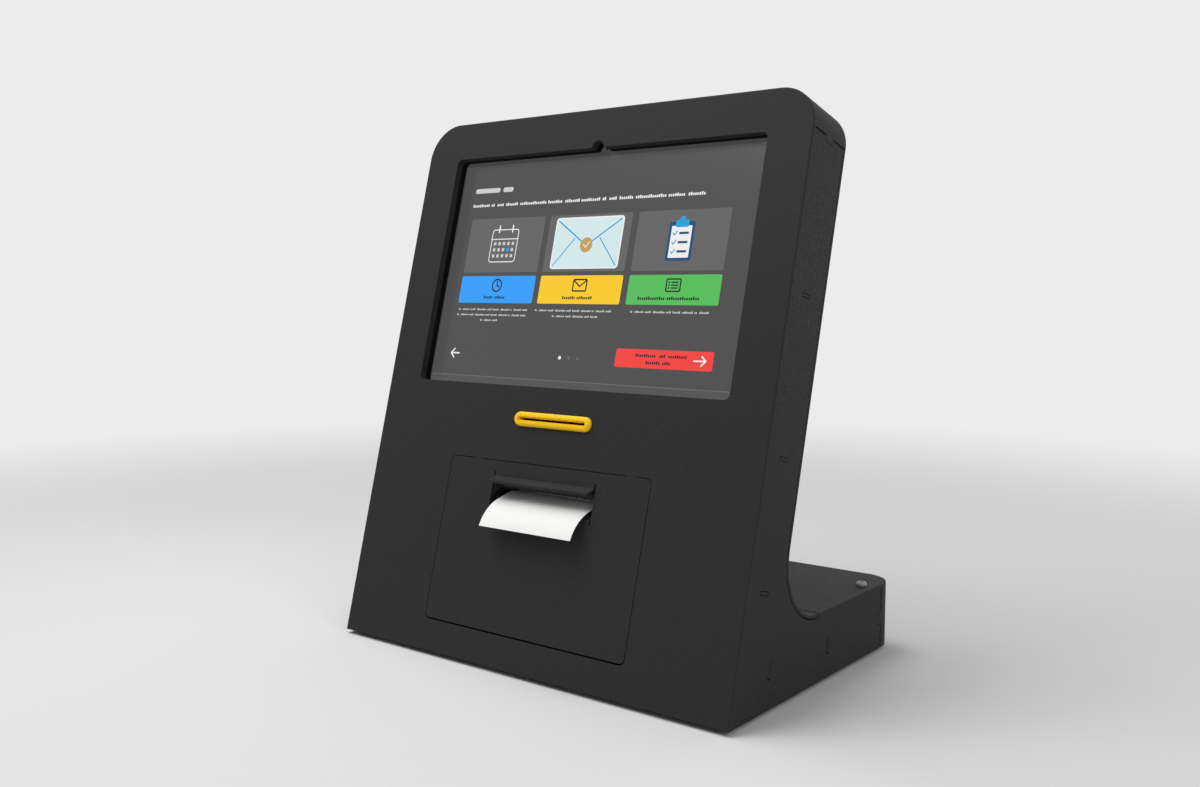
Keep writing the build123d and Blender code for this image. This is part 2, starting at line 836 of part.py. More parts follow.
def reader_half():
    return card_slot_length / 2 + reader_wall


def reader_screw_places():
    x = reader_half() + reader_ear / 2
    t = reader_front + reader_depth / 2
    return [(-x, shelf_rise(), t), (x, shelf_rise(), t)]


def card_reader_housing():
    low = card_rise - reader_height / 2
    high = card_rise + reader_height / 2
    half = reader_half()
    back = reader_front + reader_depth
    case = block(-half, half, low, high, reader_front, back)
    case = fillet(case.edges().filter_by(Axis.Z), fold_radius)
    t = reader_front + reader_depth / 2
    ear_half = reader_ear_depth / 2
    case += block(-half - reader_ear, half + reader_ear, low, low + sheet, t - ear_half, t + ear_half)
    half_slot = card_slot_height / 2 + slot_clearance
    half_card = card_slot_length / 2 + slot_clearance
    case -= block(-half_card, half_card, card_rise - half_slot, card_rise + half_slot,
                  reader_front - overrun, back - reader_wall)
    for x, s, t in reader_screw_places():
        case -= standing(x, t, low - overrun, low + overrun, screw_radius + screw_clearance)
    return case


def reader_screws():
    low = card_rise - reader_height / 2
    screws = []
    for x, s, t in reader_screw_places():
        shank = standing(x, t, low - sheet - seam, low + sheet, screw_radius)
        screws.append(shank + standing(x, t, low + sheet, low + sheet + screw_head, screw_head_radius))
    return Compound(children=screws)


def card_reader_board():
    low = card_rise + reader_height / 2
    half = reader_half() - board_margin
    back = reader_front + reader_depth - board_margin
    board = block(-half, half, low, low + board_thickness, reader_front + board_margin, back)
    middle = reader_front + reader_depth / 2
    chip = board_margin
    return board + block(-chip, chip, low, low + 2 * board_thickness, middle - chip, middle + chip)


# Printer door

def door_panel():
    outline = Pos(0, door_bottom + door_height / 2) * RectangleRounded(door_width, door_height, door_corner)
    panel = layer(outline, 0, sheet)
    half = mouth_width / 2
    panel -= block(-half, half, mouth_low, mouth_high, -overrun, sheet + overrun)
    for x in (-half, half - relief_width):
        panel -= block(x, x + relief_width, mouth_high, mouth_high + relief_length, -overrun, sheet + overrun)
        panel -= block(x, x + relief_width, mouth_low - relief_length, mouth_low, -overrun, sheet + overrun)
    return panel


def visor():
    down = math.cos(math.radians(visor_angle))
    out = math.sin(math.radians(visor_angle))
    tip = (mouth_high - visor_length * down, -visor_length * out)
    under = (tip[0] - sheet * out, tip[1] + sheet * down)
    heel = mouth_high - sheet * (1 - down) / out
    half = mouth_width / 2 - relief_width
    outline = [(mouth_high, 0), tip, under, (heel, sheet), (mouth_high, sheet)]
    return side_profile(outline, -half, half)


def inner_lip():
    up = math.cos(math.radians(inner_lip_angle))
    back = math.sin(math.radians(inner_lip_angle))
    tip = (mouth_low + inner_lip_length * up, inner_lip_length * back)
    under = (tip[0] - sheet * back, tip[1] + sheet * up)
    heel = mouth_low - sheet * (1 - up) / back
    half = mouth_width / 2 - relief_width
    outline = [(mouth_low, 0), tip, under, (heel, sheet), (heel, 0)]
    return side_profile(outline, -half, half)


def frame_screw_places():
    x = cheek_spacing / 2 + sheet + cheek_foot / 2
    rises = (cheek_low() + post_inset, cheek_high() - post_inset)
    return [(side * x, s) for side in (-1, 1) for s in rises]


def printer_door():
    panel = door_panel() + visor() + inner_lip()
    outside = door_width / 2
    low = door_bottom + door_corner
    high = door_top - door_corner
    flange = block(outside - sheet, outside, low, high, 0, sheet + door_flange)
    flange = fillet(flange.edges().filter_by(Axis.X).sort_by(Axis.Z)[:2], door_corner)
    flange -= rod(0, width, hinge_s, hinge_depth, hinge_pin_radius + running_clearance)
    panel += both_sides(flange)
    for x, s in frame_screw_places():
        panel -= pin_in(x, s, sheet / 2, sheet + overrun, screw_radius + screw_clearance)
    return panel


def hinge_ear_x():
    return door_width / 2 + door_gap + hinge_ear_gap


def hinge_head_radius():
    return hinge_depth - sheet - part_gap / 2


def hinge_brackets():
    x = hinge_ear_x()
    low = hinge_s - hinge_ear / 2
    high = hinge_s + hinge_ear / 2
    ear = block(x, x + sheet, low, high, sheet, hinge_depth + hinge_ear / 2)
    ear = fillet(ear.edges().filter_by(Axis.X).sort_by(Axis.Z)[:2], door_corner)
    foot = block(x, x + sheet + hinge_ear, low, high, sheet, 2 * sheet)
    bracket = ear + foot - rod(0, width, hinge_s, hinge_depth, hinge_pin_radius + running_clearance)
    head_room = hinge_head_radius() + part_gap
    bracket -= rod(x + sheet, x + 2 * sheet + part_gap, hinge_s, hinge_depth, head_room)
    return Compound(children=[bracket, mirror(bracket, Plane.YZ)])


def hinge_pins():
    x = hinge_ear_x()
    inside = door_width / 2 - 2 * sheet
    pin = rod(inside, x + sheet, hinge_s, hinge_depth, hinge_pin_radius)
    pin += rod(x + sheet, x + 2 * sheet, hinge_s, hinge_depth, hinge_head_radius())
    return Compound(children=[pin, mirror(pin, Plane.YZ)])


def door_magnets():
    low = door_top - magnet_size
    x = magnet_offset
    near = sheet + part_gap
    magnet = block(x - magnet_size / 2, x + magnet_size / 2, low, door_top, near, near + magnet_thickness)
    return Compound(children=[magnet, mirror(magnet, Plane.YZ)])


def magnet_brackets():
    low = door_top - magnet_size
    x = magnet_offset
    near = sheet + part_gap + magnet_thickness
    base = door_top + door_gap + sheet
    plate = block(x - magnet_size / 2, x + magnet_size / 2, low, base + sheet, near, near + sheet)
    web = block(x - magnet_size / 2, x + magnet_size / 2, base, base + sheet, sheet, near + sheet)
    foot = block(x - magnet_size / 2, x + magnet_size / 2, base, base + magnet_size, sheet, 2 * sheet)
    bracket = plate + web + foot
    return Compound(children=[bracket, mirror(bracket, Plane.YZ)])


# Printer mechanism

def web_depth():
    return platen_depth + platen_radius + part_gap + paper_thickness / 2


def head_front():
    return web_depth() + paper_thickness / 2


def bar_front():
    return bar_depth


def motor_axis():
    reach = gear_module * (gear_teeth + pinion_teeth) / 2
    turn = math.radians(motor_angle)
    return (platen_rise - reach * math.cos(turn), platen_depth - reach * math.sin(turn))


def cheek_low():
    return motor_axis()[0] - motor_radius - seam


def cheek_high():
    return platen_rise + bar_height * cheek_top_share


def printer_frame():
    inside = cheek_spacing / 2
    outside = inside + sheet
    back = bar_front() + sheet
    low = cheek_low()
    high = cheek_high()
    cheek = block(inside, outside, low, high, sheet, back)
    cheek = fillet(cheek.edges().filter_by(Axis.X).sort_by(Axis.Z)[:2], door_corner)
    foot = block(inside, outside + cheek_foot, low, high, sheet, 2 * sheet)
    side = cheek + foot - rod(0, width, platen_rise, platen_depth, bush_radius + running_clearance)
    bar_low = platen_rise - bar_height / 2
    bar = block(-inside, inside, bar_low, bar_low + bar_height, bar_front(), back)
    frame = both_sides(side) + bar
    motor_s, motor_t = motor_axis()
    frame -= rod(inside - seam, outside + seam, motor_s, motor_t, pinion_shaft_radius + part_gap)
    for s in circuit_post_rises():
        frame += rod(-outside - standoff, -outside, s, circuit_mid(), post_radius)
    for x, s in frame_screw_places():
        frame -= pin_in(x, s, sheet - overrun, 2 * sheet + overrun, screw_radius + screw_clearance)
    return frame


def frame_screws():
    screws = []
    for x, s in frame_screw_places():
        shank = pin_in(x, s, sheet / 2, 2 * sheet, screw_radius)
        screws.append(shank + pin_in(x, s, 2 * sheet, 2 * sheet + screw_head, screw_head_radius))
    return Compound(children=screws)


def platen_bushes():
    inside = cheek_spacing / 2
    outer = rod(inside, inside + sheet, platen_rise, platen_depth, bush_radius)
    outer += rod(inside + sheet, inside + sheet + bush_flange, platen_rise, platen_depth, bush_radius + seam)
    bush = outer - rod(0, width, platen_rise, platen_depth, shaft_radius + running_clearance)
    return Compound(children=[bush, mirror(bush, Plane.YZ)])


def guide_rod():
    inside = cheek_spacing / 2
    depth = web_depth() + paper_thickness / 2 + guide_radius
    return rod(-inside, inside, platen_rise - guide_drop, depth, guide_radius)


def print_head():
    half = platen_length / 2
    low = platen_rise - head_height / 2
    back = head_front() + head_thickness
    head = block(-half, half, low, low + head_height, head_front(), back)
    count = int(platen_length / fin_pitch)
    for i in range(count):
        x = (i - (count - 1) / 2) * fin_pitch
        if abs(x) > spring_flat + fin_pitch / 2:
            head -= block(x - fin_depth / 2, x + fin_depth / 2, low - overrun, low + head_height + overrun,
                          back - fin_depth, back + overrun)
    arm = cheek_spacing / 2
    return head + block(-arm, arm, low, low + fin_depth, head_front() + fin_depth, back)


def head_spring():
    near = head_front() + head_thickness
    far = bar_front()
    span = spring_half_span
    flat = spring_flat
    points = [(-span, far), (-span + flat, far), (-flat, near + spring_sheet), (flat, near + spring_sheet),
              (span - flat, far), (span, far), (span, far - spring_sheet), (span - flat, far - spring_sheet),
              (flat, near), (-flat, near), (flat - span, far - spring_sheet), (-span, far - spring_sheet)]
    face = make_face(Polyline(*[(x, -t) for x, t in points], close=True))
    low = platen_rise - spring_height / 2
    plane = Plane(origin=(0, low + spring_height, 0), x_dir=(1, 0, 0), z_dir=(0, -1, 0))
    return plane * extrude(face, amount=spring_height)


def tear_bar():
    half = cheek_spacing / 2
    low = web_top() + tear_gap
    near = tear_bar_depth
    bar = block(-half, half, low + tooth_height, low + tear_bar_height, near, near + tear_bar_thickness)
    count = int(mouth_width / tooth_pitch)
    points = [(-count * tooth_pitch / 2, low + 2 * tooth_height)]
    for i in range(count):
        left = (i - count / 2) * tooth_pitch
        points.append((left, low + tooth_height))
        points.append((left + tooth_pitch / 2, low))
    points.append((count * tooth_pitch / 2, low + tooth_height))
    points.append((count * tooth_pitch / 2, low + 2 * tooth_height))
    return bar + layer(make_face(Polyline(*points, close=True)), near, near + tear_bar_thickness)


def gear_outline(teeth):
    # flanks follow the involute at the root, pitch and tip circles
    pitch = gear_module * teeth / 2
    base = pitch * math.cos(math.radians(pressure_angle))
    involute = lambda radius: math.tan(math.acos(base / radius)) - math.acos(base / radius)
    half_tooth = math.pi / (2 * teeth) - backlash / (4 * pitch)
    points = []
    for i in range(teeth):
        middle = 2 * math.pi * i / teeth
        radii = (pitch - dedendum_share * gear_module, pitch, pitch + gear_module)
        halves = [half_tooth + involute(pitch) - involute(max(radius, base)) for radius in radii]
        rising = [(r, middle - half) for r, half in zip(radii, halves)]
        falling = [(r, middle + half) for r, half in zip(reversed(radii), reversed(halves))]
        points += [(r * math.cos(a), r * math.sin(a)) for r, a in rising + falling]
    return make_face(Polyline(*points, close=True))


def spin_plane(x, s, t):
    return Plane(origin=(x, s, -t), x_dir=(0, 1, 0), z_dir=(1, 0, 0))


def gear_x():
    return cheek_spacing / 2 + sheet + gear_offset


def platen_gear():
    wheel = extrude(gear_outline(gear_teeth) - Circle(shaft_radius), amount=gear_face)
    to_motor = 180 - motor_angle
    return spin_plane(gear_x(), platen_rise, platen_depth) * Rot(0, 0, to_motor) * wheel


def motor_pinion():
    motor_s, motor_t = motor_axis()
    wheel = extrude(gear_outline(pinion_teeth), amount=gear_face)
    half_pitch = 180 / pinion_teeth
    pinion = spin_plane(gear_x(), motor_s, motor_t) * Rot(0, 0, half_pitch - motor_angle) * wheel
    return pinion + rod(cheek_spacing / 2 - shaft_seat, gear_x(), motor_s, motor_t, pinion_shaft_radius)


def platen_shaft():
    left = -cheek_spacing / 2 - sheet - bush_flange - shaft_end
    return rod(left, gear_x() + gear_face, platen_rise, platen_depth, shaft_radius)


def platen_roller():
    half = platen_length / 2
    tube = rod(-half, half, platen_rise, platen_depth, platen_radius)
    return tube - rod(-width, width, platen_rise, platen_depth, shaft_radius)


def stepper_motor():
    motor_s, motor_t = motor_axis()
    end = cheek_spacing / 2
    can = rod(end - motor_length, end - motor_flange, motor_s, motor_t, motor_radius)
    can = fillet(can.edges().sort_by(Axis.X)[0], motor_flange)
    plate = rod(end - motor_flange, end, motor_s, motor_t, motor_radius)
    bore = pinion_shaft_radius + running_clearance
    return can + plate - rod(end - shaft_seat - shaft_end, end + overrun, motor_s, motor_t, bore)


def circuit_mid():
    return platen_depth + circuit_depth / 4


def circuit_post_rises():
    reach = circuit_height / 2 - post_inset
    return (platen_rise - circuit_height / 4 - reach + post_inset, platen_rise + circuit_height / 4)


def circuit_x():
    return -cheek_spacing / 2 - sheet - standoff


def printer_board():
    x = circuit_x()
    low = circuit_post_rises()[0] - post_inset
    near = circuit_mid() - circuit_depth / 2
    board = block(x - board_thickness, x, low, low + circuit_height, near, near + circuit_depth)
    chip = switch_size
    face = x - 2 * board_thickness
    return board + block(face, x, low + chip / 2, low + 2 * chip, near + chip, near + 2 * chip)


def switch_place():
    low = circuit_post_rises()[0] - post_inset
    return (low + circuit_height - switch_size, circuit_mid() + circuit_depth / 4)


def switch_body():
    s, t = switch_place()
    face = circuit_x() - board_thickness
    half = switch_size / 2
    body = block(face - switch_height, face, s - half, s + half, t - half, t + half)
    return body - rod(face - 2 * switch_height, face - switch_floor, s, t, button_radius + part_gap)


def feed_button():
    s, t = switch_place()
    face = circuit_x() - board_thickness - switch_floor - button_travel - part_gap
    end = circuit_x() - board_thickness - switch_height
    cap = rod(end - button_height, face, s, t, button_radius)
    return fillet(cap.edges().filter_by(GeomType.CIRCLE).sort_by(Axis.X)[0], button_radius / 4)


# Paper

def web_top():
    return platen_rise + web_depth() - platen_depth


def receipt_paper():
    # the web runs from the roll past the guide rod and the head, over the platen and out of the door
    guide_s = platen_rise - guide_drop
    guide_t = web_depth() + paper_thickness / 2 + guide_radius
    bend = guide_radius + paper_thickness
    span_s = guide_s - roll_rise
    span_t = guide_t - roll_depth
    leave = roll_radius + part_gap + paper_thickness
    angle = math.asin((leave + bend) / math.hypot(span_s, span_t)) - math.atan2(span_t, span_s)
    normal = (math.sin(angle), math.cos(angle))
    start = (roll_rise + leave * normal[0], roll_depth + leave * normal[1])
    touch = (guide_s - bend * normal[0], guide_t - bend * normal[1])
    half_turn = angle / 2
    mid = (guide_s - bend * math.sin(half_turn), guide_t - bend * math.cos(half_turn))
    rise_start = (guide_s, guide_t - bend)
    wrap = web_depth() - platen_depth
    nip = (platen_rise, web_depth())
    over = (platen_rise + wrap, platen_depth)
    dip = math.radians(receipt_dip)
    half_curl = math.radians(receipt_turn / 2)
    part = (platen_rise + wrap * math.cos(dip), platen_depth - wrap * math.sin(dip))
    curl = (part[0] - receipt_reach * math.sin(dip), part[1] - receipt_reach * math.cos(dip))
    hub = (curl[0] - receipt_curl * math.cos(dip), curl[1] + receipt_curl * math.sin(dip))
    around = lambda a: (hub[0] + receipt_curl * math.cos(a), hub[1] - receipt_curl * math.sin(a))
    flat = lambda p: (p[0], -p[1])
    path = Line(flat(start), flat(touch))
    path += ThreePointArc(flat(touch), flat(mid), flat(rise_start))
    path += Line(flat(rise_start), flat(nip))
    path += ThreePointArc(flat(nip), flat(over), flat(part))
    path += Line(flat(part), flat(curl))
    path += ThreePointArc(flat(curl), flat(around(dip + half_curl)), flat(around(dip + 2 * half_curl)))
    strip = trace(path, line_width=paper_thickness)
    return Plane.YZ.offset(-paper_width / 2) * extrude(strip, amount=paper_width)


def paper_roll():
    half = paper_width / 2
    hollow = rod(-width, width, roll_rise, roll_depth, core_radius)
    return rod(-half, half, roll_rise, roll_depth, roll_radius) - hollow


def roll_core():
    half = paper_width / 2
    tube = rod(-half, half, roll_rise, roll_depth, core_radius)
    return tube - rod(-width, width, roll_rise, roll_depth, core_radius - core_wall)


def paper_bucket():
    inner = roll_radius + bucket_gap
    outer = inner + bucket_wall
    half = paper_width / 2 + bucket_end_gap
    shell = rod(-half - bucket_wall, half + bucket_wall, roll_rise, roll_depth, outer)
    for x in (-rib_spacing / 2, rib_spacing / 2):
        low = roll_rise - rib_height / 2
        shell += block(x - rib_width / 2, x + rib_width / 2, low, low + rib_height, sheet, roll_depth)
    shell -= rod(-half, half, roll_rise, roll_depth, inner)
    reach = outer * 2
    rear = math.radians(bucket_rear_angle)
    front = math.radians(bucket_front_angle)
    corner = (roll_rise + reach * math.cos(rear), roll_depth + reach * math.sin(rear))
    other = (roll_rise + reach * math.cos(front), roll_depth - reach * math.sin(front))
    top = roll_rise + reach
    wedge = [(roll_rise, roll_depth), corner, (top, roll_depth + reach), (top, roll_depth - reach), other]
    return shell - side_profile(wedge, -width, width)


os.makedirs("parts", exist_ok=True)

for piece in (top_strip, cover_screws, reader_shelf, tablet_rail, side_gussets, display_gasket,
              display_glass, display_housing, display_clamps, clamp_screws, card_bezel,
              card_reader_housing, card_reader_board, reader_screws, hinge_brackets, hinge_pins,
              door_magnets, magnet_brackets, printer_door, printer_frame, frame_screws, platen_bushes,
              guide_rod, print_head, head_spring, tear_bar, platen_gear, motor_pinion, platen_shaft,
              platen_roller, stepper_motor, printer_board, switch_body, feed_button, receipt_paper,
              paper_roll, roll_core, paper_bucket):
    save(piece.__name__, tilt(piece()))

for piece in (front_shell, back_cover, front_cross_rail, base_cross_rail, base_rear_wall,
              cable_grommet, bottom_plate, rubber_feet, base_lid, lock_housing, lock_plug, lock_cam,
              lock_keeper, power_supply, controller_board, board_posts):
    save(piece.__name__, piece())
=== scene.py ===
import json
import math
import bmesh
import bpy
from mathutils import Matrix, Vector


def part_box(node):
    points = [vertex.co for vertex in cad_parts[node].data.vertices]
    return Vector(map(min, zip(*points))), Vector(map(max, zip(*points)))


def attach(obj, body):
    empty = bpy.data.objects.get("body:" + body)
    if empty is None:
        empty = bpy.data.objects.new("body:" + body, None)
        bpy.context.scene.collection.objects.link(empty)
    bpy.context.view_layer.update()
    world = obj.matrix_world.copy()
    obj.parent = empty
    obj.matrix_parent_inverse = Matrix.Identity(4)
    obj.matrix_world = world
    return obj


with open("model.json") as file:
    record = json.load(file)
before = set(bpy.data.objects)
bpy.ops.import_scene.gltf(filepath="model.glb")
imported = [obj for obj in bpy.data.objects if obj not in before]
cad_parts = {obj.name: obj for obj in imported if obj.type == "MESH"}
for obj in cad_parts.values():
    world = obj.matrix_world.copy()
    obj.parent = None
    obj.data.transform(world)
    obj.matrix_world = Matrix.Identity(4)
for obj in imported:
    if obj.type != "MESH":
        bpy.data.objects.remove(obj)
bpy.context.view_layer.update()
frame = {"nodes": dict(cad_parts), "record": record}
nodes = frame["nodes"]
scene = bpy.context.scene
print("stage: frame loaded,", len(nodes), "nodes")

# the leaning slab's own directions, in millimetres: x across, s up the slope, t depth behind the front face
slab = {"lean": math.radians(14.7), "frontY": -113.5, "bottomZ": 3.0, "mm": 0.001}


def slabPoint(x, s, t):
    sine, cosine = math.sin(slab["lean"]), math.cos(slab["lean"])
    y = slab["frontY"] + s * sine + t * cosine
    z = slab["bottomZ"] + s * cosine - t * sine
    return Vector((x, y, z)) * slab["mm"]


# colour codes are sRGB, and sockets take linear values
def linear(hexCode):
    knee, offset, power, slope, full = 0.04045, 0.055, 2.4, 12.92, 255
    channels = [value / full for value in bytes.fromhex(hexCode)]
    flat = [c / slope if c <= knee else ((c + offset) / (1 + offset)) ** power for c in channels]
    return (*flat, 1.0)


# node helpers: a socket is linked, and anything else is set on the target
def feed(tree, source, target):
    if isinstance(source, bpy.types.NodeSocket):
        tree.links.new(source, target)
    else:
        target.default_value = source


def feedAll(tree, targets, sources):
    for label, source in sources.items():
        feed(tree, source, targets[label])


def addNode(tree, kind, operation, *sources):
    node = tree.nodes.new(kind)
    node.operation = operation
    for target, source in zip(node.inputs, sources):
        feed(tree, source, target)
    return node.outputs


def mathNode(tree, operation, *sources):
    return addNode(tree, "ShaderNodeMath", operation, *sources)["Value"]


def vectorNode(tree, operation, *sources, result="Vector"):
    return addNode(tree, "ShaderNodeVectorMath", operation, *sources)[result]


def scaledColor(tree, color, factor):
    node = tree.nodes.new("ShaderNodeVectorMath")
    node.operation = "SCALE"
    feedAll(tree, node.inputs, {"Vector": color, "Scale": factor})
    return node.outputs["Vector"]


def mixedColor(tree, factor, first, second):
    node = tree.nodes.new("ShaderNodeMix")
    node.data_type = "RGBA"
    feedAll(tree, node.inputs, {"Factor": factor, "A": first, "B": second})
    return node.outputs["Result"]


def mixedShader(tree, factor, first, second):
    node = tree.nodes.new("ShaderNodeMixShader")
    for target, source in zip(node.inputs, (factor, first, second)):
        feed(tree, source, target)
    return node.outputs[0]


def bumpNode(tree, strength, distance, height):
    node = tree.nodes.new("ShaderNodeBump")
    feedAll(tree, node.inputs, {"Strength": strength, "Distance": distance, "Height": height})
    return node.outputs[0]


def objectVector(tree):
    return tree.nodes.new("ShaderNodeTexCoord").outputs["Object"]


# shared effects
def startGroup(name, inputs, outputs):
    group = bpy.data.node_groups.new(name, "ShaderNodeTree")
    for direction, sockets in (("INPUT", inputs), ("OUTPUT", outputs)):
        for label, kind in sockets.items():
            group.interface.new_socket(name=label, in_out=direction, socket_type="NodeSocket" + kind)
    return group, group.nodes.new("NodeGroupInput").outputs, group.nodes.new("NodeGroupOutput").inputs


grainEffect = {"detail": 3.0, "middle": 0.5, "rest": 1.0, "bumpDistance": 0.0002}


def makeGrainGroup():
    group, into, out = startGroup(
        "fineGrain",
        {"Vector": "Vector", "Color": "Color", "Scale": "Float", "Speckle": "Float",
         "Depth": "Float", "Roughness": "Float"},
        {"Color": "Color", "Roughness": "Float", "Normal": "Vector"})
    fine = group.nodes.new("ShaderNodeTexNoise")
    feedAll(group, fine.inputs, {
        "Vector": into["Vector"], "Scale": into["Scale"], "Detail": grainEffect["detail"]})
    centred = mathNode(group, "SUBTRACT", fine.outputs["Fac"], grainEffect["middle"])
    swing = mathNode(group, "MULTIPLY_ADD", centred, into["Speckle"], grainEffect["rest"])
    feedAll(group, out, {
        "Color": scaledColor(group, into["Color"], swing),
        "Roughness": mathNode(group, "MULTIPLY", into["Roughness"], swing),
        "Normal": bumpNode(group, into["Depth"], grainEffect["bumpDistance"], fine.outputs["Fac"])})
    return group


brushEffect = {"scale": 1.0, "detail": 2.0, "darkest": 0.8, "lightest": 1.2}


def makeBrushGroup():
    group, into, out = startGroup(
        "brushedLines",
        {"Vector": "Vector", "Color": "Color", "Stretch": "Vector", "Roughness": "Float"},
        {"Color": "Color", "Roughness": "Float"})
    lines = group.nodes.new("ShaderNodeTexNoise")
    feedAll(group, lines.inputs, {
        "Vector": vectorNode(group, "MULTIPLY", into["Vector"], into["Stretch"]),
        "Scale": brushEffect["scale"], "Detail": brushEffect["detail"]})
    spread = group.nodes.new("ShaderNodeMapRange")
    feedAll(group, spread.inputs, {
        "Value": lines.outputs["Fac"], "To Min": brushEffect["darkest"], "To Max": brushEffect["lightest"]})
    feedAll(group, out, {
        "Color": scaledColor(group, into["Color"], spread.outputs[0]),
        "Roughness": mathNode(group, "MULTIPLY", into["Roughness"], spread.outputs[0])})
    return group


trackEffect = {"trackWidth": 0.09, "padRadius": 0.16}


def makeTrackGroup():
    group, into, out = startGroup(
        "boardTracks",
        {"Vector": "Vector", "Color": "Color", "Track": "Color", "Pad": "Color", "Scale": "Float"},
        {"Color": "Color", "Height": "Float"})
    cells = group.nodes.new("ShaderNodeTexVoronoi")
    cells.distance = "CHEBYCHEV"
    cells.feature = "DISTANCE_TO_EDGE"
    pads = group.nodes.new("ShaderNodeTexVoronoi")
    for texture in (cells, pads):
        feedAll(group, texture.inputs, {"Vector": into["Vector"], "Scale": into["Scale"]})
    track = mathNode(group, "LESS_THAN", cells.outputs["Distance"], trackEffect["trackWidth"])
    pad = mathNode(group, "LESS_THAN", pads.outputs["Distance"], trackEffect["padRadius"])
    tracked = mixedColor(group, track, into["Color"], into["Track"])
    feedAll(group, out, {"Color": mixedColor(group, pad, tracked, into["Pad"]), "Height": track})
    return group


woundEffect = {"acrossAxis": (0.0, 1.0, 1.0), "fold": 1.0}


def makeWoundGroup():
    group, into, out = startGroup(
        "woundLayers",
        {"Vector": "Vector", "Centre": "Vector", "Pitch": "Float", "Normal": "Vector"},
        {"Shade": "Float"})
    offset = vectorNode(group, "SUBTRACT", into["Vector"], into["Centre"])
    across = vectorNode(group, "MULTIPLY", offset, woundEffect["acrossAxis"])
    radius = vectorNode(group, "LENGTH", across, result="Value")
    turns = mathNode(group, "DIVIDE", radius, into["Pitch"])
    wave = mathNode(group, "PINGPONG", turns, woundEffect["fold"])
    facing = group.nodes.new("ShaderNodeSeparateXYZ")
    feed(group, into["Normal"], facing.inputs[0])
    ends = mathNode(group, "ABSOLUTE", facing.outputs["X"])
    feed(group, mathNode(group, "MULTIPLY", wave, ends), out["Shade"])
    return group


grainGroup = makeGrainGroup()
brushGroup = makeBrushGroup()
trackGroup = makeTrackGroup()
woundGroup = makeWoundGroup()


# materials
def plainMaterial(name):
    material = bpy.data.materials.new(name)
    material.use_nodes = True
    return material, material.node_tree.nodes["Principled BSDF"]


def addEffect(tree, group, sources):
    effect = tree.nodes.new("ShaderNodeGroup")
    effect.node_tree = group
    feedAll(tree, effect.inputs, sources)
    return effect.outputs


def grainMaterial(name, look):
    material, shader = plainMaterial(name)
    tree = material.node_tree
    effect = addEffect(tree, grainGroup, {
        "Vector": objectVector(tree), "Color": linear(look["color"]), "Scale": look["scale"],
        "Speckle": look["speckle"], "Depth": look["depth"], "Roughness": look["roughness"]})
    feedAll(tree, shader.inputs, {
        "Base Color": effect["Color"], "Roughness": effect["Roughness"], "Normal": effect["Normal"],
        "Specular IOR Level": look["specular"]})
    return material


def brushMaterial(name, look):
    material, shader = plainMaterial(name)
    tree = material.node_tree
    effect = addEffect(tree, brushGroup, {
        "Vector": objectVector(tree), "Color": linear(look["color"]), "Stretch": look["stretch"],
        "Roughness": look["roughness"]})
    feedAll(tree, shader.inputs, {
        "Base Color": effect["Color"], "Roughness": effect["Roughness"], "Metallic": look["metallic"]})
    return material


def litMaterial(name, look):
    material, shader = plainMaterial(name)
    feedAll(material.node_tree, shader.inputs, {
        "Base Color": linear("000000"), "Emission Color": linear(look["color"]),
        "Emission Strength": look["strength"], "Roughness": look["roughness"],
        "Specular IOR Level": look["specular"]})
    return material


def boardMaterial(name, look, upward, surface):
    # what stands above the board's surface is a part with its own colour
    material, shader = plainMaterial(name)
    tree = material.node_tree
    place = objectVector(tree)
    effect = addEffect(tree, trackGroup, {
        "Vector": place, "Color": linear(look["color"]), "Track": linear(look["track"]),
        "Pad": linear(look["pad"]), "Scale": look["scale"]})
    level = vectorNode(tree, "DOT_PRODUCT", place, upward, result="Value")
    above = mathNode(tree, "GREATER_THAN", level, surface)
    feedAll(tree, shader.inputs, {
        "Base Color": mixedColor(tree, above, effect["Color"], linear(look["parts"])),
        "Normal": bumpNode(tree, look["depth"], look["bumpDistance"], effect["Height"]),
        "Roughness": look["roughness"]})
    return material


def woundMaterial(name, look, centre):
    material, shader = plainMaterial(name)
    tree = material.node_tree
    coordinates = tree.nodes.new("ShaderNodeTexCoord").outputs
    effect = addEffect(tree, woundGroup, {
        "Vector": coordinates["Object"], "Normal": coordinates["Normal"], "Centre": centre,
        "Pitch": look["pitch"]})
    feedAll(tree, shader.inputs, {
        "Base Color": mixedColor(tree, effect["Shade"], linear(look["color"]), linear(look["edge"])),
        "Roughness": look["roughness"], "Specular IOR Level": look["specular"]})
    return material


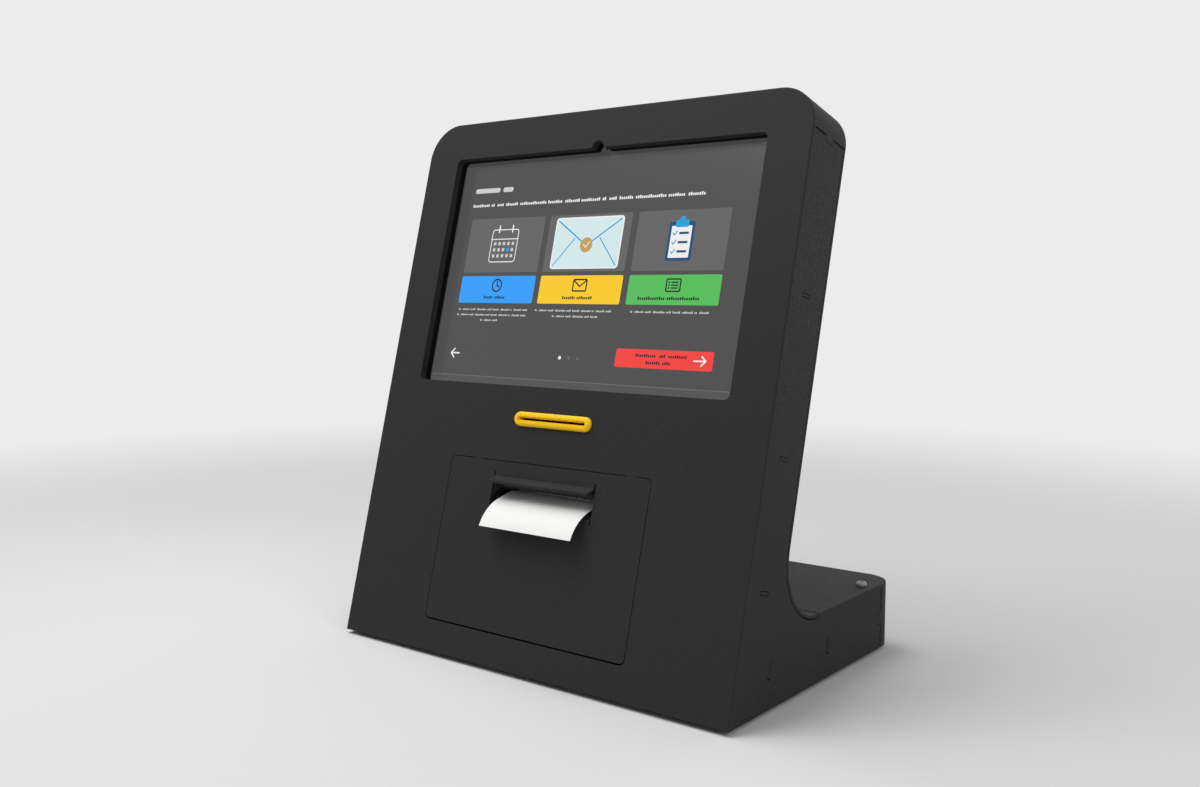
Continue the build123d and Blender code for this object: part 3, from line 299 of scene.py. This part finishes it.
# finishes of the record's slots
grainLooks = {
    "black_coat": {"color": "2c2c2c", "scale": 1100.0, "speckle": 1.3, "depth": 0.6,
                   "roughness": 0.68, "specular": 0.15},
    "tablet_case": {"color": "3a3a3d", "scale": 2500.0, "speckle": 0.1, "depth": 0.1,
                    "roughness": 0.5, "specular": 0.5},
    "black_foam": {"color": "0d0d0d", "scale": 1800.0, "speckle": 0.6, "depth": 0.8,
                   "roughness": 0.95, "specular": 0.1},
    "yellow_bezel": {"color": "ffd016", "scale": 300.0, "speckle": 0.02, "depth": 0.01,
                     "roughness": 0.38, "specular": 0.25},
    "black_plastic": {"color": "1c1c1e", "scale": 2200.0, "speckle": 0.1, "depth": 0.15,
                      "roughness": 0.5, "specular": 0.5},
    "grey_plastic": {"color": "8d9093", "scale": 2200.0, "speckle": 0.06, "depth": 0.1,
                     "roughness": 0.45, "specular": 0.5},
    "white_gear": {"color": "ece9df", "scale": 900.0, "speckle": 0.03, "depth": 0.03,
                   "roughness": 0.35, "specular": 0.5},
    "black_rubber": {"color": "161617", "scale": 1600.0, "speckle": 0.2, "depth": 0.3,
                     "roughness": 0.85, "specular": 0.25},
    "paper_white": {"color": "fafaf8", "scale": 3500.0, "speckle": 0.03, "depth": 0.05,
                    "roughness": 0.8, "specular": 0.2},
    "card_core": {"color": "a98a60", "scale": 1200.0, "speckle": 0.2, "depth": 0.1,
                  "roughness": 0.85, "specular": 0.2},
}
brushLooks = {
    "plain_steel": {"color": "93969a", "stretch": (60.0, 2500.0, 2500.0),
                    "roughness": 0.38, "metallic": 1.0},
    "screw_steel": {"color": "3a3a3c", "stretch": (900.0, 900.0, 900.0),
                    "roughness": 0.5, "metallic": 1.0},
    "head_aluminium": {"color": "a9acaf", "stretch": (40.0, 1800.0, 1800.0),
                       "roughness": 0.42, "metallic": 1.0},
    "bush_brass": {"color": "cfa35a", "stretch": (1200.0, 1200.0, 1200.0),
                   "roughness": 0.3, "metallic": 1.0},
    "bright_metal": {"color": "c4c5c7", "stretch": (1500.0, 1500.0, 1500.0),
                     "roughness": 0.35, "metallic": 0.35},
}
glassLook = {"color": "484848", "strength": 0.85, "roughness": 0.2, "specular": 0.15}
finishes = {slot: grainMaterial(slot, look) for slot, look in grainLooks.items()}
finishes.update({slot: brushMaterial(slot, look) for slot, look in brushLooks.items()})
finishes["screen_glass"] = litMaterial("screen_glass", glassLook)

# the circuit boards and the paper roll have finishes of their own, set by their place
boardLook = {"color": "0f4a26", "track": "1d6b38", "pad": "b9a063", "parts": "23262a", "scale": 320.0,
             "depth": 0.3, "bumpDistance": 0.0002, "roughness": 0.35, "thickness": 0.00165}
boardSides = {"controller_board": (0, 0, 1), "printer_board": (-1, 0, 0),
              "card_reader_board": slabPoint(0, 1, 0) - slabPoint(0, 0, 0)}
rollLook = {"color": "fafaf8", "edge": "b9b7b0", "pitch": 0.0005, "roughness": 0.8, "specular": 0.2}
ownFinishes = {}
for name, side in boardSides.items():
    upward = Vector(side).normalized()
    underside = min(vertex.co.dot(upward) for vertex in nodes[name].data.vertices)
    surface = underside + boardLook["thickness"]
    ownFinishes[name] = boardMaterial(name + ".finish", boardLook, upward, surface)
rollCentre = [(low + high) / 2 for low, high in zip(*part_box("paper_roll"))]
ownFinishes["paper_roll"] = woundMaterial("paper_roll.finish", rollLook, rollCentre)

for entry in frame["record"]["subparts"]:
    name = entry["node"]
    slots = nodes[name].data.materials
    slots.clear()
    slots.append(ownFinishes[name] if name in ownFinishes else finishes[entry["material_slot"]])
print("stage: finishes on the CAD nodes")

# drawn shapes, each a list of outlines in slab x and s
drawing = {"discSides": 36, "cornerSteps": 6, "innerDivisor": 4, "dashDivisor": 2.2}


def arcPoints(x, s, radius, start, end, count):
    turns = [start + (end - start) * i / count for i in range(count + 1)]
    return [(x + radius * math.cos(a), s + radius * math.sin(a)) for a in turns]


def roundedOutline(x0, x1, s0, s1, radius):
    quarter = math.pi / 2
    corners = [(x1 - radius, s1 - radius, 0), (x0 + radius, s1 - radius, 1),
               (x0 + radius, s0 + radius, 2), (x1 - radius, s0 + radius, 3)]
    points = []
    for x, s, turn in corners:
        points += arcPoints(x, s, radius, turn * quarter, (turn + 1) * quarter, drawing["cornerSteps"])
    return points


def bar(x0, x1, s0, s1, radius):
    return [roundedOutline(x0, x1, s0, s1, radius)]


def barAt(x, s, sizes):
    x0, x1, s0, s1, radius = sizes
    return bar(x + x0, x + x1, s + s0, s + s1, radius)


def disc(x, s, radius):
    return [arcPoints(x, s, radius, 0, 2 * math.pi, drawing["discSides"])[:-1]]


def band(outer, inner):
    count = len(outer)
    return [[outer[i], outer[(i + 1) % count], inner[(i + 1) % count], inner[i]] for i in range(count)]


def ring(x, s, radius, width):
    return band(disc(x, s, radius)[0], disc(x, s, radius - width)[0])


def hollowBar(x0, x1, s0, s1, radius, width):
    inside = max(radius - width, width / drawing["innerDivisor"])
    return band(roundedOutline(x0, x1, s0, s1, radius),
                roundedOutline(x0 + width, x1 - width, s0 + width, s1 - width, inside))


def stroke(points, width):
    shapes = []
    for (xa, sa), (xb, sb) in zip(points, points[1:]):
        length = math.hypot(xb - xa, sb - sa)
        dx, ds = (sa - sb) / length * width / 2, (xb - xa) / length * width / 2
        shapes.append([(xa + dx, sa + ds), (xa - dx, sa - ds), (xb - dx, sb - ds), (xb + dx, sb + ds)])
    for x, s in points:
        shapes += disc(x, s, width / 2)
    return shapes


def strokeAt(x, s, points, width):
    return stroke([(x + dx, s + ds) for dx, ds in points], width)


# rows of plain blocks that stand in for lettering
lettering = {"blockShare": 0.52, "pitchShare": 0.74, "tallShares": (1.0, 0.72, 0.72, 0.86, 0.72),
             "tallSkip": 2, "cornerDivisor": 5}


def words(x0, x1, s, text):
    height, lengths, tallShares = text["height"], text["lengths"], lettering["tallShares"]
    block, pitch = height * lettering["blockShare"], height * lettering["pitchShare"]
    low = s - height / 2
    shapes, x, i = [], x0, 0
    while x + lengths[i % len(lengths)] <= x1:
        length = lengths[i % len(lengths)]
        for k in range(max(1, round(length / pitch))):
            high = low + height * tallShares[(i + lettering["tallSkip"] * k) % len(tallShares)]
            left = x + k * pitch
            shapes += bar(left, left + block, low, high, block / lettering["cornerDivisor"])
        x += length + text["gap"]
        i += 1
    return shapes


def dashes(x, s, text):
    height, shapes = text["height"], []
    for length in text["lengths"]:
        shapes += bar(x, x + length, s - height / 2, s + height / 2, height / drawing["dashDivisor"])
        x += length + text["gap"]
    return shapes


# pieces drawn on the screen
screen = {"depth": 10.5, "firstLift": 0.06, "layerLift": 0.05, "levels": {"field": 0, "tile": 3, "art": 5}}
screenLight = {"strength": 0.94, "roughness": 0.2, "specular": 0.12}
screenColors = {
    "field": "525252", "edgeLine": "6f6f6f", "lowStrip": "575757", "tile": "686868",
    "white": "f4f4f4", "pale": "d2d2d2", "blue": "3aa2ff", "yellow": "ffd02f", "green": "5cc260",
    "red": "f84a46", "ink": "26292c", "navy": "24527e", "sky": "2ba4dc", "mist": "d9eef0", "gold": "c9a45c",
}
screenLooks = {name: litMaterial("screen." + name, {**screenLight, "color": code})
               for name, code in screenColors.items()}


def drawn(name, layers, body, first, looks):
    mesh = bpy.data.meshes.new(name)
    build = bmesh.new()
    used = []
    for level, (look, shapes) in enumerate(layers):
        if look not in used:
            used.append(look)
        t = screen["depth"] - first - level * screen["layerLift"]
        for outline in shapes:
            corners = [build.verts.new(slabPoint(x, s, t)) for x, s in outline]
            face = build.faces.new(corners)
            face.material_index = used.index(look)
            face.normal_update()
            if face.normal.y > 0:
                face.normal_flip()
    build.to_mesh(mesh)
    build.free()
    piece = bpy.data.objects.new(name, mesh)
    for look in used:
        mesh.materials.append(looks[look])
    scene.collection.objects.link(piece)
    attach(piece, body)
    return piece


def onScreen(name, layers, level):
    first = screen["firstLift"] + screen["levels"][level] * screen["layerLift"]
    return drawn(name, layers, "chassis", first, screenLooks)


field = {"x": 133.0, "low": 197.0, "high": 356.6, "line": 0.6, "stripLow": 190.6, "radius": 0.2}
onScreen("screen_field", [
    ("field", bar(-field["x"], field["x"], field["low"], field["high"], field["radius"])),
    ("lowStrip", bar(-field["x"], field["x"], field["stripLow"], field["low"], field["radius"])),
    ("edgeLine", bar(-field["x"], field["x"], field["low"] - field["line"], field["low"], field["radius"])),
], "field")

heading = {"x": -120.0, "s": 337.0, "height": 3.6, "lengths": (25.0, 10.0), "gap": 3.0}
subline = {"x0": -120.0, "x1": 101.0, "s": 325.6, "height": 2.3, "gap": 1.8,
           "lengths": (17.0, 4.0, 7.0, 12.0, 25.0, 14.0, 13.0)}
onScreen("screen_heading", [
    ("pale", dashes(heading["x"], heading["s"], heading)),
    ("white", words(subline["x0"], subline["x1"], subline["s"], subline)),
], "tile")

tiles = {"low": 274.0, "high": 315.0, "stripLow": 251.0, "stripHigh": 274.0, "gap": 2.8, "radius": 1.2,
         "width": 72.6, "lefts": (-118.4, -40.8, 37.1), "strips": ("blue", "yellow", "green")}


def tileBase(left, stripLook):
    right, stripHigh = left + tiles["width"], tiles["stripHigh"] - tiles["gap"]
    return [("tile", bar(left, right, tiles["low"], tiles["high"], tiles["radius"])),
            (stripLook, bar(left, right, tiles["stripLow"], stripHigh, tiles["radius"]))]


calendar = {"halfWidth": 13.0, "halfHeight": 12.5, "radius": 2.4, "line": 0.7, "headDrop": 7.5,
            "ringX": 6.5, "ring": ((0.0, -2.2), (0.0, 2.6)), "ringLine": 1.2,
            "dayX": 8.8, "dayS": 1.6, "pitchX": 4.4, "pitchS": 4.6, "day": (-1.2, 1.2, -1.2, 1.2, 0.4),
            "rows": 3, "columns": 5, "chosen": (1, 3)}


def calendarArt(x, s):
    w, top, line = calendar["halfWidth"], s + calendar["halfHeight"], calendar["line"]
    head = top - calendar["headDrop"]
    lines = hollowBar(x - w, x + w, s - calendar["halfHeight"], top, calendar["radius"], line)
    lines += stroke([(x - w, head), (x + w, head)], line)
    for side in (-calendar["ringX"], calendar["ringX"]):
        lines += strokeAt(x + side, top, calendar["ring"], calendar["ringLine"])
    days, chosen = [], []
    for row in range(calendar["rows"]):
        for column in range(calendar["columns"]):
            dayX = x - calendar["dayX"] + column * calendar["pitchX"]
            dayS = s + calendar["dayS"] - row * calendar["pitchS"]
            target = chosen if (row, column) == calendar["chosen"] else days
            target += barAt(dayX, dayS, calendar["day"])
    return [("white", lines), ("pale", days), ("blue", chosen)]


envelope = {"halfWidth": 30.0, "halfHeight": 18.6, "radius": 2.6, "edge": 1.1, "inset": 2.4,
            "flapDrop": 2.0, "flapLine": 1.0, "foldX": 11.0, "foldS": 3.4, "foldLine": 0.8,
            "sealDrop": 1.6, "sealRadius": 5.4,
            "mark": ((-2.3, -1.4), (-0.5, -3.4), (2.7, 0.6)), "markLine": 0.9}


def envelopeArt(x, s):
    w, h, inset = envelope["halfWidth"], envelope["halfHeight"], envelope["inset"]
    sheet = bar(x - w, x + w, s - h, s + h, envelope["radius"])
    edge = hollowBar(x - w, x + w, s - h, s + h, envelope["radius"], envelope["edge"])
    flap = [(x - w + inset, s + h - inset), (x, s - envelope["flapDrop"]), (x + w - inset, s + h - inset)]
    folds = stroke(flap, envelope["flapLine"])
    for side in (-1, 1):
        corner = (x + side * w - side * inset, s - h + inset)
        inner = (x + side * envelope["foldX"], s + envelope["foldS"])
        folds += stroke([corner, inner], envelope["foldLine"])
    seal = disc(x, s - envelope["sealDrop"], envelope["sealRadius"])
    mark = strokeAt(x, s, envelope["mark"], envelope["markLine"])
    return [("mist", sheet), ("white", edge), ("sky", folds), ("gold", seal), ("mist", mark)]


clipboard = {"backing": (-10.0, 10.0, -14.0, 12.5, 1.6), "sheet": (-8.0, 8.0, -12.0, 9.6, 0.6),
             "clip": (-5.2, 5.2, 8.6, 13.6, 1.4), "knobRise": 14.0, "knobRadius": 2.2,
             "rows": 3, "firstRise": 4.6, "pitch": 6.2, "line": (-1.6, 6.0, -0.8, 0.8, 0.5),
             "tick": ((-6.2, 0.0), (-5.1, -1.2), (-3.2, 1.4)), "tickLine": 0.8}


def clipboardArt(x, s):
    clip = barAt(x, s, clipboard["clip"]) + disc(x, s + clipboard["knobRise"], clipboard["knobRadius"])
    lines, ticks = [], []
    for row in range(clipboard["rows"]):
        level = s + clipboard["firstRise"] - row * clipboard["pitch"]
        lines += barAt(x, level, clipboard["line"])
        ticks += strokeAt(x, level, clipboard["tick"], clipboard["tickLine"])
    return [("navy", barAt(x, s, clipboard["backing"])), ("white", barAt(x, s, clipboard["sheet"])),
            ("sky", clip), ("navy", lines), ("sky", ticks)]


clock = {"radius": 5.0, "rim": 1.1, "hands": ((0.0, 3.0), (0.0, 0.0), (2.2, -1.2)), "line": 1.0}


def clockIcon(x, s):
    return ring(x, s, clock["radius"], clock["rim"]) + strokeAt(x, s, clock["hands"], clock["line"])


letter = {"halfWidth": 6.4, "halfHeight": 4.6, "radius": 1.4, "rim": 1.1,
          "flap": ((-5.2, 3.2), (0.0, -0.8), (5.2, 3.2)), "line": 1.0}


def letterIcon(x, s):
    w, h = letter["halfWidth"], letter["halfHeight"]
    edge = hollowBar(x - w, x + w, s - h, s + h, letter["radius"], letter["rim"])
    return edge + strokeAt(x, s, letter["flap"], letter["line"])


listing = {"halfWidth": 6.0, "halfHeight": 4.6, "radius": 1.2, "rim": 1.0, "rows": (1.9, 0.0, -1.9),
           "dotX": 3.4, "dotRadius": 0.65, "line": (-1.8, 3.9, -0.45, 0.45, 0.3)}


def listIcon(x, s):
    w, h = listing["halfWidth"], listing["halfHeight"]
    shapes = hollowBar(x - w, x + w, s - h, s + h, listing["radius"], listing["rim"])
    for row in listing["rows"]:
        shapes += disc(x - listing["dotX"], s + row, listing["dotRadius"])
        shapes += barAt(x, s + row, listing["line"])
    return shapes


# each tile's name, art with its place up the slope, icon and half the width of its label
tileArt = (("visit", calendarArt, 294.0, clockIcon, 11.0), ("letter", envelopeArt, 294.5, letterIcon, 14.0),
           ("list", clipboardArt, 294.5, listIcon, 27.0))
strip = {"iconS": 264.2, "labelS": 255.4, "height": 2.3, "gap": 1.8, "lengthShares": (0.8, 0.95)}
for left, stripLook, (label, art, artS, icon, half) in zip(tiles["lefts"], tiles["strips"], tileArt):
    middle = left + tiles["width"] / 2
    text = {**strip, "lengths": [half * share for share in strip["lengthShares"]]}
    labelShapes = words(middle - half, middle + half, strip["labelS"], text)
    onScreen("screen_tile_" + label, tileBase(left, stripLook), "tile")
    onScreen("screen_art_" + label, art(middle, artS), "art")
    onScreen("screen_strip_" + label, [("ink", icon(middle, strip["iconS"]) + labelShapes)], "art")

# rows of small print under the strips: both ends and the place up the slope
rows = {"height": 1.4, "gap": 1.2, "lengths": (2.5, 7.0, 5.5, 9.0, 4.0, 6.5, 8.0),
        "places": ((-116.5, -47.0, 246.2), (-117.5, -46.0, 242.2), (-93.0, -72.0, 238.3),
                   (-41.5, 32.0, 246.2), (-25.0, 17.0, 242.2), (42.0, 106.0, 246.2))}
rowShapes = []
for x0, x1, s in rows["places"]:
    rowShapes += words(x0, x1, s, rows)
onScreen("screen_small_print", [("pale", rowShapes)], "tile")

proceed = {"outline": (35.8, 112.2, 208.8, 221.2, 1.2), "height": 2.2, "gap": 2.0,
           "lines": ((52.0, 92.0, 217.2, (17.0, 5.0, 14.0)), (61.0, 84.0, 212.6, (11.0, 6.0))),
           "shaft": ((98.0, 215.0), (106.8, 215.0)),
           "point": ((103.6, 218.0), (106.8, 215.0), (103.6, 212.0)), "arrowLine": 1.0}
proceedText = []
for x0, x1, s, lengths in proceed["lines"]:
    proceedText += words(x0, x1, s, {**proceed, "lengths": lengths})
onward = stroke(proceed["shaft"], proceed["arrowLine"]) + stroke(proceed["point"], proceed["arrowLine"])
onScreen("screen_proceed", [
    ("red", bar(*proceed["outline"])), ("ink", proceedText), ("white", onward)], "tile")

marks = {"shaft": ((-116.6, 213.0), (-108.6, 213.0)),
         "point": ((-113.4, 216.2), (-116.6, 213.0), (-113.4, 209.8)), "arrowLine": 1.1,
         "dotS": 213.0, "dotX": (-12.0, -4.0, 4.0), "dotRadius": 1.3}
backward = stroke(marks["shaft"], marks["arrowLine"]) + stroke(marks["point"], marks["arrowLine"])
firstDot, *otherDots = [disc(x, marks["dotS"], marks["dotRadius"]) for x in marks["dotX"]]
onScreen("screen_page_marks", [("white", backward + firstDot), ("tile", sum(otherDots, []))], "tile")
print("stage: screen drawn")

# camera eye of the tablet, seen through the notch; its rim and lens are painted light, glowing with fixed
# greys instead of being lit by the lamps
eye = {"s": 362.2, "rim": 1.5, "lens": 0.8,
       "looks": {"rim": {"color": "38383a", "strength": 1.0, "roughness": 0.3, "specular": 0.2},
                 "lens": {"color": "17181b", "strength": 1.0, "roughness": 0.1, "specular": 0.3}}}
# painted glow: the eye's rim and lens emit their grey and take no colour from the lamps
eyeGlowLooks = {name: litMaterial("eye." + name, look) for name, look in eye["looks"].items()}
drawn("tablet_eye", [("rim", disc(0.0, eye["s"], eye["rim"])), ("lens", disc(0.0, eye["s"], eye["lens"]))],
      "chassis", screen["firstLift"], eyeGlowLooks)
print("stage: tablet eye")

# floor, light and camera
stage = {"floorSize": 12.0, "floorColor": "e4e4e4", "floorRoughness": 0.8, "floorSpecular": 0.1,
         "backColor": "ececec", "ambientColor": "ffffff", "ambient": 0.3, "fadeStart": 0.45, "fadeEnd": 1.5}
floorMesh = bpy.data.meshes.new("floor")
edge = stage["floorSize"] / 2
floorCorners = [(-edge, -edge, 0), (edge, -edge, 0), (edge, edge, 0), (-edge, edge, 0)]
floorMesh.from_pydata(floorCorners, [], [(0, 1, 2, 3)])
floor = bpy.data.objects.new("floor", floorMesh)
scene.collection.objects.link(floor)


def directRays(tree):
    paths = tree.nodes.new("ShaderNodeLightPath").outputs
    total = paths["Is Camera Ray"]
    for label in ("Is Glossy Ray", "Is Transmission Ray"):
        total = mathNode(tree, "MAXIMUM", total, paths[label])
    return total


# the floor passes into the backdrop far from the kiosk and keeps its shadow near it
floorMaterial, floorShader = plainMaterial("floor")
floorTree = floorMaterial.node_tree
feedAll(floorTree, floorShader.inputs, {
    "Base Color": linear(stage["floorColor"]), "Roughness": stage["floorRoughness"],
    "Specular IOR Level": stage["floorSpecular"]})
fade = floorTree.nodes.new("ShaderNodeMapRange")
fade.interpolation_type = "SMOOTHSTEP"
feedAll(floorTree, fade.inputs, {
    "Value": vectorNode(floorTree, "LENGTH", objectVector(floorTree), result="Value"),
    "From Min": stage["fadeStart"], "From Max": stage["fadeEnd"]})
reach = mathNode(floorTree, "MULTIPLY", fade.outputs[0], directRays(floorTree))
backdrop = floorTree.nodes.new("ShaderNodeEmission")
backdrop.inputs["Color"].default_value = linear(stage["backColor"])
floorLook = mixedShader(floorTree, reach, floorShader.outputs[0], backdrop.outputs[0])
feed(floorTree, floorLook, floorTree.nodes["Material Output"].inputs["Surface"])
floorMesh.materials.append(floorMaterial)

world = bpy.data.worlds.new("world")
scene.world = world
world.use_nodes = True
worldTree = world.node_tree
seen = worldTree.nodes.new("ShaderNodeBackground")
seen.inputs["Color"].default_value = linear(stage["backColor"])
ambient = worldTree.nodes["Background"]
feedAll(worldTree, ambient.inputs, {
    "Color": linear(stage["ambientColor"]), "Strength": stage["ambient"]})
worldLook = mixedShader(worldTree, directRays(worldTree), ambient.outputs[0], seen.outputs[0])
feed(worldTree, worldLook, worldTree.nodes["World Output"].inputs["Surface"])

lamps = {
    "keyLamp": {"place": (-0.3, -0.5, 1.05), "aim": (0.0, -0.05, 0.3), "power": 4.8, "size": 0.6},
    "sideLamp": {"place": (1.3, -0.5, 0.9), "aim": (0.0, 0.0, 0.2), "power": 5.0, "size": 0.9},
    "backLamp": {"place": (0.2, 1.7, 0.3), "aim": (0.0, 0.0, 0.2), "power": 4.0, "size": 0.9},
    "topLamp": {"place": (-0.45, 0.0, 1.5), "aim": (0.0, 0.0, 0.2), "power": 8.5, "size": 0.8},
}
for name, lamp in lamps.items():
    data = bpy.data.lights.new(name, "AREA")
    data.energy = lamp["power"]
    data.size = lamp["size"]
    light = bpy.data.objects.new(name, data)
    light.location = lamp["place"]
    aim = Vector(lamp["aim"]) - Vector(lamp["place"])
    light.rotation_euler = aim.to_track_quat("-Z", "Y").to_euler()
    scene.collection.objects.link(light)

view = {"place": (0.50446, -0.66433, 0.25510), "azimuth": math.radians(38.046),
        "elevation": math.radians(5.222), "lens": 35.114, "sensor": 36.0}
cameraData = bpy.data.cameras.new("camera")
cameraData.lens = view["lens"]
cameraData.sensor_width = view["sensor"]
camera = bpy.data.objects.new("camera", cameraData)
camera.location = view["place"]
level = math.cos(view["elevation"])
ahead = Vector((-math.sin(view["azimuth"]) * level, math.cos(view["azimuth"]) * level,
                -math.sin(view["elevation"])))
camera.rotation_euler = ahead.to_track_quat("-Z", "Y").to_euler()
scene.collection.objects.link(camera)
scene.camera = camera
scene.view_settings.view_transform = "Standard"
print("stage: floor, lamps and camera")
